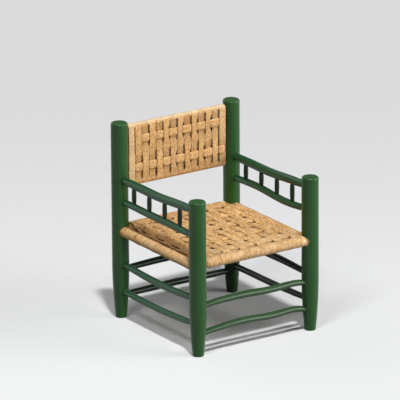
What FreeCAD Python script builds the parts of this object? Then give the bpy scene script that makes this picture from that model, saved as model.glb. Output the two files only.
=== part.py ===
"""Low armchair of round posts and rungs pegged together, with a woven rush seat and back.

All sizes are millimetres. X runs to the right as seen from the front, Y runs to the back and Z up.
The origin is on the floor, under the middle of the chair. Left and right are as seen from the front.
"""
import FreeCAD, Part
import math
import os
from collections import namedtuple

# Posts
post_spacing_across = 512.0
post_spacing_deep = 530.0
post_radius = 32.8
post_top_round = 7.0
foot_radius = 21.5
foot_taper_height = 220.0
foot_edge_round = 2.5

# Pegged joints: a tenon's play in its mortise, the room past its tip, the wood left between two
# tenons that meet in a post, and the straight neck outside the post
tenon_play = 0.1
mortise_end_room = 0.3
tenon_web = 1.5
rung_neck = 1.0
cut_overrun = 5.0

# Stretchers below the seat: height of each end, where both ends differ the front or left one first
stretcher_radius = 13.5
slim_stretcher_radius = 12.4
stretcher_tenon_radius = 11.5
front_upper_stretcher_height = 194.0
front_lower_stretcher_height = 86.0
back_upper_stretcher_height = 192.0
back_lower_stretcher_height = 87.0
left_upper_stretcher_front_height = 218.0
left_upper_stretcher_back_height = 216.0
left_lower_stretcher_front_height = 118.0
left_lower_stretcher_back_height = 107.0
right_upper_stretcher_front_height = 222.0
right_upper_stretcher_back_height = 227.0
right_lower_stretcher_front_height = 119.0
right_lower_stretcher_back_height = 109.0

# Seat rails that the rush is wound on: the front and the back one lie a little above the side rails
seat_rail_radius = 14.2
side_seat_rail_radius = 15.0
seat_rail_tenon_radius = 12.0
side_seat_rail_height = 349.6
front_seat_rail_rise = 11.4
back_seat_rail_rise = 5.4

# Arms: the upper rail's ends stand above the side seat rail, the lower rail's hang below them, and
# the front posts end above the arm
arm_rail_radius = 16.5
arm_rail_tenon_radius = 14.0
arm_rail_front_rise = 220.4
arm_rail_back_rise = 207.4
lower_arm_rail_radius = 14.0
lower_arm_rail_tenon_radius = 12.0
left_lower_arm_front_drop = 101.0
left_lower_arm_back_drop = 88.0
right_lower_arm_front_drop = 94.0
right_lower_arm_back_drop = 87.0
front_post_above_arm = 42.0
spindle_radius = 9.2
spindle_tenon_radius = 8.0
spindle_tenon_depth = 8.0

# Back: its lower rail above the side seat rails, its two rails apart, and the posts above them
back_rail_radius = 9.7
back_rail_tenon_radius = 8.5
bottom_back_rail_rise = 184.4
back_panel_height = 218.0
back_post_above_rail = 28.0

# Rush bands
band_thickness = 4.5
band_clearance = 0.3
rail_wrap_clearance = 0.5
seat_warp_gap = 4.7
seat_narrow_warp_width = 9.8
seat_weft_width = 46.0
seat_weft_front_inset = 26.0
seat_weft_back_inset = 13.0
back_warp_gap = 4.0
back_weft_height = 29.0
back_weft_round = 3.0

# Counts of full bands: the seat has a narrow band more at each side
seat_full_warp_count = 11
back_warp_count = 14
back_warps_per_node = 2

# A crooked rung's greatest rise or dip, and its rises along the rung as shares of it, at even steps
# between the two necks. A rung with no shares is a straight cylinder.
rung_wave = 12.0
front_upper_wave_shares = (0.58, 0.66, 0.50, 0.25, 0.45)
front_lower_wave_shares = (0.67, 1.00, 0.83, 0.50, 0.75)
back_upper_wave_shares = (0.15, 0.30, 0.30, 0.20, 0.10)
back_lower_wave_shares = (0.10, 0.20, 0.25, 0.10, 0.00)
left_upper_wave_shares = (-0.30, -0.60, -0.67, -0.55, -0.25)
left_lower_wave_shares = (-0.25, -0.45, -0.54, -0.40, -0.20)
right_upper_wave_shares = (0.10, 0.15, 0.00, -0.10, 0.00)
right_lower_wave_shares = (-0.15, -0.25, -0.25, -0.15, -0.05)
arm_wave_shares = (-0.18, -0.43, -0.62, -0.46, -0.25)
left_lower_arm_wave_shares = (0.00, 0.04, 0.00, -0.04, 0.00)
right_lower_arm_wave_shares = (-0.50, -0.58, -0.17, 0.25, 0.25)

# Places of the spindles from the front posts' axis, as shares of the post spacing
spindle_place_shares = (0.223, 0.417, 0.615, 0.813)

# Places of the seat's crosswise bands, as shares of the way from the first one to the last one
seat_weft_place_shares = (0.0, 0.256, 0.520, 0.764, 1.0)

# Places of the back's two crosswise bands, as shares of the way from the bottom rail to the top one
back_weft_place_shares = (0.266, 0.780)

# A rung swells from its tenon's radius to its own: 2 gives a barrel, more a fuller rung
barrel_fullness = 2
arm_fullness = 4

half_across = post_spacing_across / 2
half_deep = post_spacing_deep / 2
left, right = -1, 1
front, back = -1, 1

front_seat_rail_height = side_seat_rail_height + front_seat_rail_rise
back_seat_rail_height = side_seat_rail_height + back_seat_rail_rise
arm_rail_front_height = side_seat_rail_height + arm_rail_front_rise
arm_rail_back_height = side_seat_rail_height + arm_rail_back_rise
bottom_back_rail_height = side_seat_rail_height + bottom_back_rail_rise
top_back_rail_height = bottom_back_rail_height + back_panel_height
front_post_height = arm_rail_front_height + front_post_above_arm
back_post_height = top_back_rail_height + back_post_above_rail

Rung = namedtuple("Rung", "name run side near far radius end_radius tenon fullness wave_shares")

stretchers = (
    Rung("front_upper_stretcher", "across", front, front_upper_stretcher_height,
         front_upper_stretcher_height, stretcher_radius, stretcher_tenon_radius,
         stretcher_tenon_radius, barrel_fullness, front_upper_wave_shares),
    Rung("front_lower_stretcher", "across", front, front_lower_stretcher_height,
         front_lower_stretcher_height, stretcher_radius, stretcher_tenon_radius,
         stretcher_tenon_radius, barrel_fullness, front_lower_wave_shares),
    Rung("back_upper_stretcher", "across", back, back_upper_stretcher_height,
         back_upper_stretcher_height, stretcher_radius, stretcher_tenon_radius,
         stretcher_tenon_radius, barrel_fullness, back_upper_wave_shares),
    Rung("back_lower_stretcher", "across", back, back_lower_stretcher_height,
         back_lower_stretcher_height, stretcher_radius, stretcher_tenon_radius,
         stretcher_tenon_radius, barrel_fullness, back_lower_wave_shares),
    Rung("left_upper_stretcher", "deep", left, left_upper_stretcher_front_height,
         left_upper_stretcher_back_height, stretcher_radius, stretcher_tenon_radius,
         stretcher_tenon_radius, barrel_fullness, left_upper_wave_shares),
    Rung("left_lower_stretcher", "deep", left, left_lower_stretcher_front_height,
         left_lower_stretcher_back_height, slim_stretcher_radius, stretcher_tenon_radius,
         stretcher_tenon_radius, barrel_fullness, left_lower_wave_shares),
    Rung("right_upper_stretcher", "deep", right, right_upper_stretcher_front_height,
         right_upper_stretcher_back_height, stretcher_radius, stretcher_tenon_radius,
         stretcher_tenon_radius, barrel_fullness, right_upper_wave_shares),
    Rung("right_lower_stretcher", "deep", right, right_lower_stretcher_front_height,
         right_lower_stretcher_back_height, slim_stretcher_radius, stretcher_tenon_radius,
         stretcher_tenon_radius, barrel_fullness, right_lower_wave_shares),
)

seat_rails = (
    Rung("front_seat_rail", "across", front, front_seat_rail_height, front_seat_rail_height,
         seat_rail_radius, seat_rail_radius, seat_rail_tenon_radius, barrel_fullness, ()),
    Rung("back_seat_rail", "across", back, back_seat_rail_height, back_seat_rail_height,
         seat_rail_radius, seat_rail_radius, seat_rail_tenon_radius, barrel_fullness, ()),
    Rung("left_seat_rail", "deep", left, side_seat_rail_height, side_seat_rail_height,
         side_seat_rail_radius, side_seat_rail_radius, seat_rail_tenon_radius,
         barrel_fullness, ()),
    Rung("right_seat_rail", "deep", right, side_seat_rail_height, side_seat_rail_height,
         side_seat_rail_radius, side_seat_rail_radius, seat_rail_tenon_radius,
         barrel_fullness, ()),
)

back_rails = (
    Rung("top_back_rail", "across", back, top_back_rail_height, top_back_rail_height,
         back_rail_radius, back_rail_radius, back_rail_tenon_radius, barrel_fullness, ()),
    Rung("bottom_back_rail", "across", back, bottom_back_rail_height, bottom_back_rail_height,
         back_rail_radius, back_rail_radius, back_rail_tenon_radius, barrel_fullness, ()),
)

arm_rails = tuple(
    Rung(f"{word}_arm_rail", "deep", side, arm_rail_front_height, arm_rail_back_height,
         arm_rail_radius, arm_rail_tenon_radius, arm_rail_tenon_radius, arm_fullness,
         arm_wave_shares)
    for word, side in (("left", left), ("right", right))
)

lower_arm_rails = (
    Rung("left_lower_arm_rail", "deep", left, arm_rail_front_height - left_lower_arm_front_drop,
         arm_rail_back_height - left_lower_arm_back_drop, lower_arm_rail_radius,
         lower_arm_rail_tenon_radius, lower_arm_rail_tenon_radius, arm_fullness,
         left_lower_arm_wave_shares),
    Rung("right_lower_arm_rail", "deep", right, arm_rail_front_height - right_lower_arm_front_drop,
         arm_rail_back_height - right_lower_arm_back_drop, lower_arm_rail_radius,
         lower_arm_rail_tenon_radius, lower_arm_rail_tenon_radius, arm_fullness,
         right_lower_arm_wave_shares),
)

rungs = stretchers + seat_rails + back_rails + arm_rails + lower_arm_rails

# A tenon stops short of the post's axis, clear of the thickest tenon that crosses it
tenon_stop = max(rung.tenon for rung in rungs) + tenon_web


def vector(x, y, z):
    """A point or a direction in the chair's own frame."""
    return FreeCAD.Vector(x, y, z)


def post_radius_at(height):
    """Radius of a post at a height: the foot tapers on one arc that runs into the round post."""
    if height >= foot_taper_height:
        return post_radius
    narrowing = post_radius - foot_radius
    arc_radius = (foot_taper_height ** 2 + narrowing ** 2) / (2 * narrowing)
    drop = foot_taper_height - height
    return post_radius - arc_radius + math.sqrt(arc_radius ** 2 - drop ** 2)


def post_solid(side_across, side_deep, height):
    """A turned post: flat foot, tapered leg, round shaft and a flat top with a rounded edge."""
    corner = 1 - math.sqrt(0.5)
    foot_edge = post_radius_at(foot_edge_round)
    top_edge_height = height - post_top_round
    points = {
        "base": vector(0, 0, 0),
        "foot_flat": vector(foot_edge - foot_edge_round, 0, 0),
        "foot_curve": vector(foot_edge - corner * foot_edge_round, 0, corner * foot_edge_round),
        "foot_side": vector(foot_edge, 0, foot_edge_round),
        "taper": vector(post_radius_at(foot_taper_height / 2), 0, foot_taper_height / 2),
        "shaft_low": vector(post_radius, 0, foot_taper_height),
        "shaft_high": vector(post_radius, 0, top_edge_height),
        "top_curve": vector(post_radius - corner * post_top_round, 0,
                            height - corner * post_top_round),
        "top_flat": vector(post_radius - post_top_round, 0, height),
        "top": vector(0, 0, height),
    }
    edges = [
        Part.LineSegment(points["base"], points["foot_flat"]),
        Part.Arc(points["foot_flat"], points["foot_curve"], points["foot_side"]),
        Part.Arc(points["foot_side"], points["taper"], points["shaft_low"]),
        Part.LineSegment(points["shaft_low"], points["shaft_high"]),
        Part.Arc(points["shaft_high"], points["top_curve"], points["top_flat"]),
        Part.LineSegment(points["top_flat"], points["top"]),
        Part.LineSegment(points["top"], points["base"]),
    ]
    profile = Part.Face(Part.Wire([edge.toShape() for edge in edges]))
    post = profile.revolve(vector(0, 0, 0), vector(0, 0, 1), 360)
    post.translate(vector(side_across * half_across, side_deep * half_deep, 0))
    return post


def rung_axis(rung):
    """The way a rung runs: to the right, or to the back."""
    return vector(1, 0, 0) if rung.run == "across" else vector(0, 1, 0)


def rung_point(rung, along, height):
    """A point of a rung's middle line, a distance along its run from the middle of the chair."""
    if rung.run == "across":
        return vector(along, rung.side * half_deep, height)
    return vector(rung.side * half_across, along, height)


def half_run(rung):
    """Half the distance between the axes of the two posts that a rung joins."""
    return half_across if rung.run == "across" else half_deep


def rung_reach(rung, height):
    """How far a rung's swelling part reaches from the middle, at an end that has this height."""
    return half_run(rung) - post_radius_at(height) - rung_neck


def rung_height(rung, share):
    """Height of a rung's middle line, a share of the way from its near neck to its far one."""
    rises = (0,) + rung.wave_shares + (0,)
    step = share * (len(rises) - 1)
    before = min(int(step), len(rises) - 2)
    rise = rises[before] + (rises[before + 1] - rises[before]) * (step - before)
    return rung.near + (rung.far - rung.near) * share + rung_wave * rise


def rung_radius(rung, share):
    """Radius of a rung, a share of the way from its near neck to its far one."""
    swelling = 1 - abs(2 * share - 1) ** rung.fullness
    return rung.end_radius + (rung.radius - rung.end_radius) * swelling


def rung_place(rung, share):
    """Distance along the run, a share of the way from the near neck to the far one."""
    near_end = -rung_reach(rung, rung.near)
    return near_end + (rung_reach(rung, rung.far) - near_end) * share


def rung_share(rung, along):
    """The share of the way between the necks at a distance along the run."""
    near_end = -rung_reach(rung, rung.near)
    return (along - near_end) / (rung_reach(rung, rung.far) - near_end)


def rung_body(rung):
    """The part of a rung between its two necks."""
    axis = rung_axis(rung)
    if not rung.wave_shares:
        start = rung_place(rung, 0)
        length = rung_place(rung, 1) - start
        return Part.makeCylinder(rung.radius, length, rung_point(rung, start, rung.near), axis)
    steps = len(rung.wave_shares) + 1
    sections = []
    for step in range(steps + 1):
        share = step / steps
        centre = rung_point(rung, rung_place(rung, share), rung_height(rung, share))
        circle = Part.Circle(centre, axis, rung_radius(rung, share))
        sections.append(Part.Wire([circle.toShape()]))
    return Part.makeLoft(sections, True, False)


def rung_pegs(rung, radius_extra, tip_extra, length_extra):
    """The two round pegs at a rung's ends, or with the extras the mortises that take them."""
    pegs = []
    for end, height in ((-1, rung.near), (1, rung.far)):
        tip = half_run(rung) - tenon_stop + tip_extra
        length = tip - rung_reach(rung, height) + length_extra
        start = rung_point(rung, end * tip, height)
        way_in = rung_axis(rung) * -end
        pegs.append(Part.makeCylinder(rung.tenon + radius_extra, length, start, way_in))
    return pegs


def rung_solid(rung):
    """A rung with its two tenons."""
    return rung_body(rung).fuse(rung_pegs(rung, 0, 0, 0)).removeSplitter()


def posts():
    """The four posts with a mortise for each tenon."""
    mortises = []
    for rung in rungs:
        mortises += rung_pegs(rung, tenon_play, mortise_end_room, cut_overrun)
    made = {}
    for deep_word, side_deep, height in (("front", front, front_post_height),
                                         ("back", back, back_post_height)):
        for across_word, side_across in (("left", left), ("right", right)):
            post = post_solid(side_across, side_deep, height)
            near = [cut for cut in mortises if cut.BoundBox.intersect(post.BoundBox)]
            made[f"{deep_word}_{across_word}_post"] = post.cut(near)
    return made


def spindle_ends(arm_rail, lower_rail, along):
    """Heights where a spindle leaves the lower rail's crest and enters the arm rail's underside."""
    low_share = rung_share(lower_rail, along)
    high_share = rung_share(arm_rail, along)
    low = rung_height(lower_rail, low_share) + rung_radius(lower_rail, low_share)
    high = rung_height(arm_rail, high_share) - rung_radius(arm_rail, high_share)
    return low, high


def spindle_solid(across, along, low, high):
    """A small barrel-shaped spindle with a peg at each end."""
    profile_points = [
        vector(0, 0, low - spindle_tenon_depth),
        vector(spindle_tenon_radius, 0, low - spindle_tenon_depth),
        vector(spindle_tenon_radius, 0, low + rung_neck),
        vector(spindle_radius, 0, (low + high) / 2),
        vector(spindle_tenon_radius, 0, high - rung_neck),
        vector(spindle_tenon_radius, 0, high + spindle_tenon_depth),
        vector(0, 0, high + spindle_tenon_depth),
    ]
    edges = [
        Part.LineSegment(profile_points[0], profile_points[1]),
        Part.LineSegment(profile_points[1], profile_points[2]),
        Part.Arc(profile_points[2], profile_points[3], profile_points[4]),
        Part.LineSegment(profile_points[4], profile_points[5]),
        Part.LineSegment(profile_points[5], profile_points[6]),
        Part.LineSegment(profile_points[6], profile_points[0]),
    ]
    profile = Part.Face(Part.Wire([edge.toShape() for edge in edges]))
    spindle = profile.revolve(vector(0, 0, 0), vector(0, 0, 1), 360)
    spindle.translate(vector(across, along, 0))
    return spindle


def arms():
    """Both arms: an upper and a lower rail each, with the spindles that are pegged in them."""
    made = {}
    for word, side, arm_rail, lower_rail in (("left", left, arm_rails[0], lower_arm_rails[0]),
                                             ("right", right, arm_rails[1], lower_arm_rails[1])):
        holes = []
        hole_depth = spindle_tenon_depth + mortise_end_room
        hole_radius = spindle_tenon_radius + tenon_play
        for number, share in enumerate(spindle_place_shares, 1):
            along = post_spacing_deep * share - half_deep
            low, high = spindle_ends(arm_rail, lower_rail, along)
            made[f"{word}_spindle_{number}"] = spindle_solid(side * half_across, along, low, high)
            for start, length in ((low - hole_depth, hole_depth + cut_overrun),
                                  (high - cut_overrun, hole_depth + cut_overrun)):
                place = vector(side * half_across, along, start)
                holes.append(Part.makeCylinder(hole_radius, length, place, vector(0, 0, 1)))
        made[arm_rail.name] = rung_solid(arm_rail).cut(holes)
        made[lower_rail.name] = rung_solid(lower_rail).cut(holes)
    return made


def touch_point(point, centre, radius, turn):
    """Where the straight line from a point touches a circle, on its left (turn 1) or right (-1)."""
    away = math.hypot(centre[0] - point[0], centre[1] - point[1])
    toward = math.atan2(centre[1] - point[1], centre[0] - point[0])
    heading = toward + turn * math.asin(radius / away)
    length = math.sqrt(away ** 2 - radius ** 2)
    return (point[0] + length * math.cos(heading), point[1] + length * math.sin(heading))


def far_point(centre, radius, first, last, half_turn):
    """The middle of the arc that a band takes round a rail, from one touch point to the other."""
    first_angle = math.atan2(first[1] - centre[1], first[0] - centre[0])
    last_angle = math.atan2(last[1] - centre[1], last[0] - centre[0])
    middle = (first_angle + last_angle) / 2 + half_turn
    return (centre[0] + radius * math.cos(middle), centre[1] + radius * math.sin(middle))


def loop_wire(course, layer_drop, near_rail, far_rail, place):
    """One side of a band that runs over two rails and back below them.

    course holds the upper layer's points from the near rail to the far one, and layer_drop is how
    far the lower layer lies below it, on that same side of the band. Each rail is its centre and
    the radius that this side of the band has round it.
    """
    lower = [(u, v - layer_drop) for u, v in reversed(course)]
    near_centre, near_radius = near_rail
    far_centre, far_radius = far_rail
    near_top = touch_point(course[0], near_centre, near_radius, -1)
    far_top = touch_point(course[-1], far_centre, far_radius, 1)
    far_low = touch_point(lower[0], far_centre, far_radius, -1)
    near_low = touch_point(lower[-1], near_centre, near_radius, 1)
    far_side = far_point(far_centre, far_radius, far_top, far_low, 0)
    near_side = far_point(near_centre, near_radius, near_low, near_top, math.pi)
    upper_line = Part.makePolygon([place(*p) for p in [near_top] + course + [far_top]])
    lower_line = Part.makePolygon([place(*p) for p in [far_low] + lower + [near_low]])
    far_turn = Part.Arc(place(*far_top), place(*far_side), place(*far_low)).toShape()
    near_turn = Part.Arc(place(*near_low), place(*near_side), place(*near_top)).toShape()
    return Part.Wire(upper_line.Edges + [far_turn] + lower_line.Edges + [near_turn])


def band_loop(course, layer_drop, near_rail, far_rail, place, width):
    """A closed band round two rails, woven along its course.

    near_rail and far_rail are each a centre and a rail's own radius. The course is the middle of
    the upper layer, and the lower layer repeats it at layer_drop below.
    """
    half = band_thickness / 2
    outer_rails = [(centre, radius + rail_wrap_clearance + band_thickness)
                   for centre, radius in (near_rail, far_rail)]
    inner_rails = [(centre, radius + rail_wrap_clearance)
                   for centre, radius in (near_rail, far_rail)]
    outside = [(u, v + half) for u, v in course]
    inside = [(u, v - half) for u, v in course]
    outer = loop_wire(outside, layer_drop + band_thickness, *outer_rails, place)
    inner = loop_wire(inside, layer_drop - band_thickness, *inner_rails, place)
    face = Part.makeFace([outer, inner], "Part::FaceMakerBullseye")
    return face.extrude(width)


# The weave: a band that passes another one stands off the layer's middle by half of what the two
# need, and its neighbour stands off to the other side.
weave_offset = (band_thickness + band_clearance) / 2
clear_half_across = half_across - post_radius - band_clearance


def weave_side(warp_index, weft_index):
    """1 where a crosswise band passes over a lengthwise one, and -1 where it passes under."""
    return 1 if (warp_index + weft_index) % 2 == 0 else -1


# Seat
seat_layer_half = seat_rail_radius + rail_wrap_clearance + band_thickness / 2
seat_warp_count = seat_full_warp_count + 2
seat_full_half = clear_half_across - seat_narrow_warp_width - seat_warp_gap / 2
seat_warp_pitch = 2 * seat_full_half / seat_full_warp_count
seat_warp_width = seat_warp_pitch - seat_warp_gap
side_roll_radius = side_seat_rail_radius + rail_wrap_clearance + band_thickness
seat_edge = half_across - side_roll_radius - rail_wrap_clearance


def seat_layer_height(along):
    """Height of the middle of the seat's upper layer, which falls a little to the back."""
    fall = back_seat_rail_height - front_seat_rail_height
    return front_seat_rail_height + seat_layer_half + fall * (along + half_deep) / post_spacing_deep


def seat_warp_edges(index):
    """Left and right edge of a lengthwise seat band: the first and the last one are narrow."""
    if index == 0:
        return -seat_edge, -seat_full_half - seat_warp_gap / 2
    if index == seat_warp_count - 1:
        return seat_full_half + seat_warp_gap / 2, seat_edge
    middle = seat_warp_pitch * (index - (seat_warp_count - 1) / 2)
    return middle - seat_warp_width / 2, middle + seat_warp_width / 2


def seat_weft_edges(index):
    """Front and back edge of a crosswise seat band."""
    first = seat_weft_front_inset - half_deep
    last = half_deep - seat_weft_back_inset - seat_weft_width
    start = first + (last - first) * seat_weft_place_shares[index]
    return start, start + seat_weft_width


def post_sleeves():
    """Round the posts, the room that a band beside them leaves free."""
    sleeve = post_radius + band_clearance
    return [Part.makeCylinder(sleeve, back_post_height,
                              vector(side_across * half_across, side_deep * half_deep, 0))
            for side_across in (left, right) for side_deep in (front, back)]


def seat_warps():
    """Lengthwise seat bands, wound round the front and the back rail and squeezed by the posts."""
    made = {}
    for index in range(seat_warp_count):
        course = []
        for weft in range(len(seat_weft_place_shares)):
            offset = -weave_side(index, weft) * weave_offset
            start, end = seat_weft_edges(weft)
            for along in (start - band_clearance, end + band_clearance):
                course.append((along, seat_layer_height(along) + offset))
        left_edge, right_edge = seat_warp_edges(index)
        band = band_loop(
            course, 2 * seat_layer_half,
            ((-half_deep, front_seat_rail_height), seat_rail_radius),
            ((half_deep, back_seat_rail_height), seat_rail_radius),
            lambda u, v, across=left_edge: vector(across, u, v),
            vector(right_edge - left_edge, 0, 0))
        beside_post = index in (0, seat_warp_count - 1)
        made[f"seat_warp_{index + 1}"] = band.cut(post_sleeves()) if beside_post else band
    return made


def seat_wefts():
    """Crosswise seat bands, woven through the lengthwise ones and wound round the side rails."""
    made = {}
    for weft in range(len(seat_weft_place_shares)):
        start, end = seat_weft_edges(weft)
        start_height = seat_layer_height(start)
        course = []
        for index in range(seat_warp_count):
            offset = weave_side(index, weft) * weave_offset
            left_edge, right_edge = seat_warp_edges(index)
            for across in (left_edge - band_clearance, right_edge + band_clearance):
                course.append((across, start_height + offset))
        band = band_loop(
            course, 2 * seat_layer_half,
            ((-half_across, side_seat_rail_height), side_seat_rail_radius),
            ((half_across, side_seat_rail_height), side_seat_rail_radius),
            lambda u, v, along=start: vector(u, along, v),
            vector(0, end - start, seat_layer_height(end) - start_height))
        made[f"seat_weft_{weft + 1}"] = band.cut(post_sleeves())
    return made


def rail_wraps():
    """Turns of rush that cover each side rail between the crosswise bands."""
    made = {}
    inner = side_roll_radius - band_thickness
    for word, side in (("left", left), ("right", right)):
        turns = []
        for weft in range(len(seat_weft_place_shares) - 1):
            start = seat_weft_edges(weft)[1] + band_clearance
            length = seat_weft_edges(weft + 1)[0] - band_clearance - start
            place = vector(side * half_across, start, side_seat_rail_height)
            tube = Part.makeCylinder(side_roll_radius, length, place, vector(0, 1, 0))
            turns.append(tube.cut(Part.makeCylinder(inner, length, place, vector(0, 1, 0))))
        made[f"{word}_rail_wrap"] = Part.makeCompound(turns)
    return made


# Back: the crosswise bands turn round the outermost lengthwise ones, inside the posts
back_layer_half = back_rail_radius + rail_wrap_clearance + band_thickness / 2
back_field_half = clear_half_across - band_thickness - band_clearance
back_warp_pitch = 2 * back_field_half / back_warp_count
back_warp_width = back_warp_pitch - back_warp_gap


def back_warp_edges(index):
    """Left and right edge of an upright band of the back."""
    middle = back_warp_pitch * (index - (back_warp_count - 1) / 2)
    return middle - back_warp_width / 2, middle + back_warp_width / 2


def back_weft_edges(index):
    """Lower and upper edge of a crosswise band of the back."""
    rise = top_back_rail_height - bottom_back_rail_height
    middle = bottom_back_rail_height + rise * back_weft_place_shares[index]
    return middle - back_weft_height / 2, middle + back_weft_height / 2


def back_warps():
    """Upright bands of the back, wound round its two rails, two neighbours to a node."""
    made = {}
    for index in range(back_warp_count):
        course = []
        for weft in range(len(back_weft_place_shares)):
            offset = weave_side(index, weft) * weave_offset
            low, high = back_weft_edges(weft)
            for height in (low - band_clearance, high + band_clearance):
                course.append((height, back_layer_half + offset))
        left_edge, right_edge = back_warp_edges(index)
        band = band_loop(
            course, 2 * back_layer_half,
            ((bottom_back_rail_height, 0), back_rail_radius),
            ((top_back_rail_height, 0), back_rail_radius),
            lambda u, v, across=left_edge: vector(across, half_deep - v, u),
            vector(right_edge - left_edge, 0, 0))
        made.setdefault(f"back_warp_pair_{index // back_warps_per_node + 1}", []).append(band)
    return {name: Part.makeCompound(bands) for name, bands in made.items()}


def back_weft_wire(weft, side, reach, height):
    """One side of a crosswise band of the back: outer (side 1) or inner (-1), seen from above."""
    points = []
    for index in range(back_warp_count):
        offset = -weave_side(index, weft) * weave_offset
        left_edge, right_edge = back_warp_edges(index)
        for across in (left_edge - band_clearance, right_edge + band_clearance):
            points.append((across, offset))
    points[0] = (-reach, points[0][1])
    points[-1] = (reach, points[-1][1])
    layer = back_layer_half + side * band_thickness / 2
    front_line = [vector(u, half_deep - layer - v, height) for u, v in points]
    back_line = [vector(u, half_deep + layer - v, height) for u, v in reversed(points)]
    return Part.makePolygon(front_line + back_line + front_line[:1])


def back_wefts():
    """Crosswise bands of the back, woven through both layers and turned round their edges."""
    made = {}
    for weft, word in enumerate(("lower", "upper")):
        low, high = back_weft_edges(weft)
        outer = back_weft_wire(weft, 1, back_field_half + band_thickness, low)
        inner = back_weft_wire(weft, -1, back_field_half, low)
        face = Part.makeFace([outer, inner], "Part::FaceMakerBullseye")
        band = face.extrude(vector(0, 0, high - low))
        corners = [edge for edge in band.Edges
                   if abs(abs(edge.CenterOfMass.x) - back_field_half - band_thickness)
                   < band_clearance and edge.BoundBox.YLength < band_clearance]
        made[f"back_{word}_weft"] = band.makeFillet(back_weft_round, corners)
    return made


def write_parts(parts):
    """Writes each sub-part to its own file and prints its size."""
    os.makedirs("parts", exist_ok=True)
    for name, shape in sorted(parts.items()):
        if not shape.isValid() or not shape.Solids:
            raise ValueError(f"{name} is not a sound solid")
        shape.exportStep(f"parts/{name}.step")
        box = shape.BoundBox
        print(f"{name}: {len(shape.Solids)} solid, {box.XLength:.1f} x {box.YLength:.1f} x "
              f"{box.ZLength:.1f}, from z {box.ZMin:.1f}")


def main():
    """Builds the chair."""
    parts = {rung.name: rung_solid(rung) for rung in stretchers + seat_rails + back_rails}
    for made in (posts(), arms(), seat_warps(), seat_wefts(), rail_wraps(), back_warps(),
                 back_wefts()):
        parts.update(made)
    write_parts(parts)
    print(f"{len(parts)} sub-parts")


main()
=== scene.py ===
"""Studio picture of a low armchair: a painted round-wood frame with a woven rush seat and back.

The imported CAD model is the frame, and every place here is in its metres. The wooden pieces keep their
CAD meshes and get their paint. The rush is wound and woven here, over its plain CAD stand-ins.
"""

import logging
import math
import random
from dataclasses import dataclass, field
from enum import Enum
from typing import Callable, Sequence

import bmesh
import bpy
from mathutils import Matrix, Vector


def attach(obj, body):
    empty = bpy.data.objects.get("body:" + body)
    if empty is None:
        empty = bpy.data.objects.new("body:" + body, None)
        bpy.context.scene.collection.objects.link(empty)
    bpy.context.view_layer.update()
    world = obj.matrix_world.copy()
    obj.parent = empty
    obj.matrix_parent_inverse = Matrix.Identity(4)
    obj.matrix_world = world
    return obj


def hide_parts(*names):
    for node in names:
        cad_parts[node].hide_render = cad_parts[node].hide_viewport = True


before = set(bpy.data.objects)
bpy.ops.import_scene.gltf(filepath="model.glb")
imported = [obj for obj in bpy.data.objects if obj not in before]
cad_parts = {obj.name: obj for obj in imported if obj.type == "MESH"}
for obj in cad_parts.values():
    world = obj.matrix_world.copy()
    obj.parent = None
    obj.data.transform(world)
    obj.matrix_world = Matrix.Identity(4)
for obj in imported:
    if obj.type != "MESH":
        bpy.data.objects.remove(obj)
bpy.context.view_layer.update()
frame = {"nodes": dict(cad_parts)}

log = logging.getLogger("armchair")

BODY = "root"
RUSH_LAYERS = ("tone", "tuck", "bleach")

Colour = tuple[float, float, float, float]
Span = tuple[float, float]
Point = tuple[float, float, float, float, bool]


def ease(value: float) -> float:
    """Gives a smooth step from 0 at 0 to 1 at 1."""
    held = min(max(value, 0.0), 1.0)
    return held * held * (3.0 - 2.0 * held)


def step(value: float, start: float, width: float) -> float:
    """Gives a smooth step from 0 at the start to 1 a width further, or before it if that is negative."""
    return ease((value - start) / width)


def blend(start: float, end: float, share: float) -> float:
    """Gives the number that lies the share of the way from start to end."""
    return start + (end - start) * share


def colour(red: float, green: float, blue: float) -> Colour:
    """Gives an opaque colour from its three linear parts."""
    return (red, green, blue, 1.0)


class Wire:
    """A value on its way through a material's nodes, so that shader maths reads as Python."""

    def __init__(self, bench: "Bench", socket: bpy.types.NodeSocket) -> None:
        """Keeps the bench that adds new nodes and the socket that gives the value."""
        self.bench = bench
        self.socket = socket

    def __add__(self, other: "Wire | float") -> "Wire":
        """Gives the sum of two values."""
        return self.bench.maths("ADD", self, other)

    def __sub__(self, other: "Wire | float") -> "Wire":
        """Gives this value less another."""
        return self.bench.maths("SUBTRACT", self, other)

    def __rsub__(self, other: float) -> "Wire":
        """Gives a number less this value."""
        return self.bench.maths("SUBTRACT", other, self)

    def __mul__(self, other: "Wire | float") -> "Wire":
        """Gives the product of two values."""
        return self.bench.maths("MULTIPLY", self, other)

    def __truediv__(self, other: "Wire | float") -> "Wire":
        """Gives this value over another."""
        return self.bench.maths("DIVIDE", self, other)

    def __pow__(self, other: float) -> "Wire":
        """Gives this value to a power."""
        return self.bench.maths("POWER", self, other)

    __radd__ = __add__
    __rmul__ = __mul__


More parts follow.
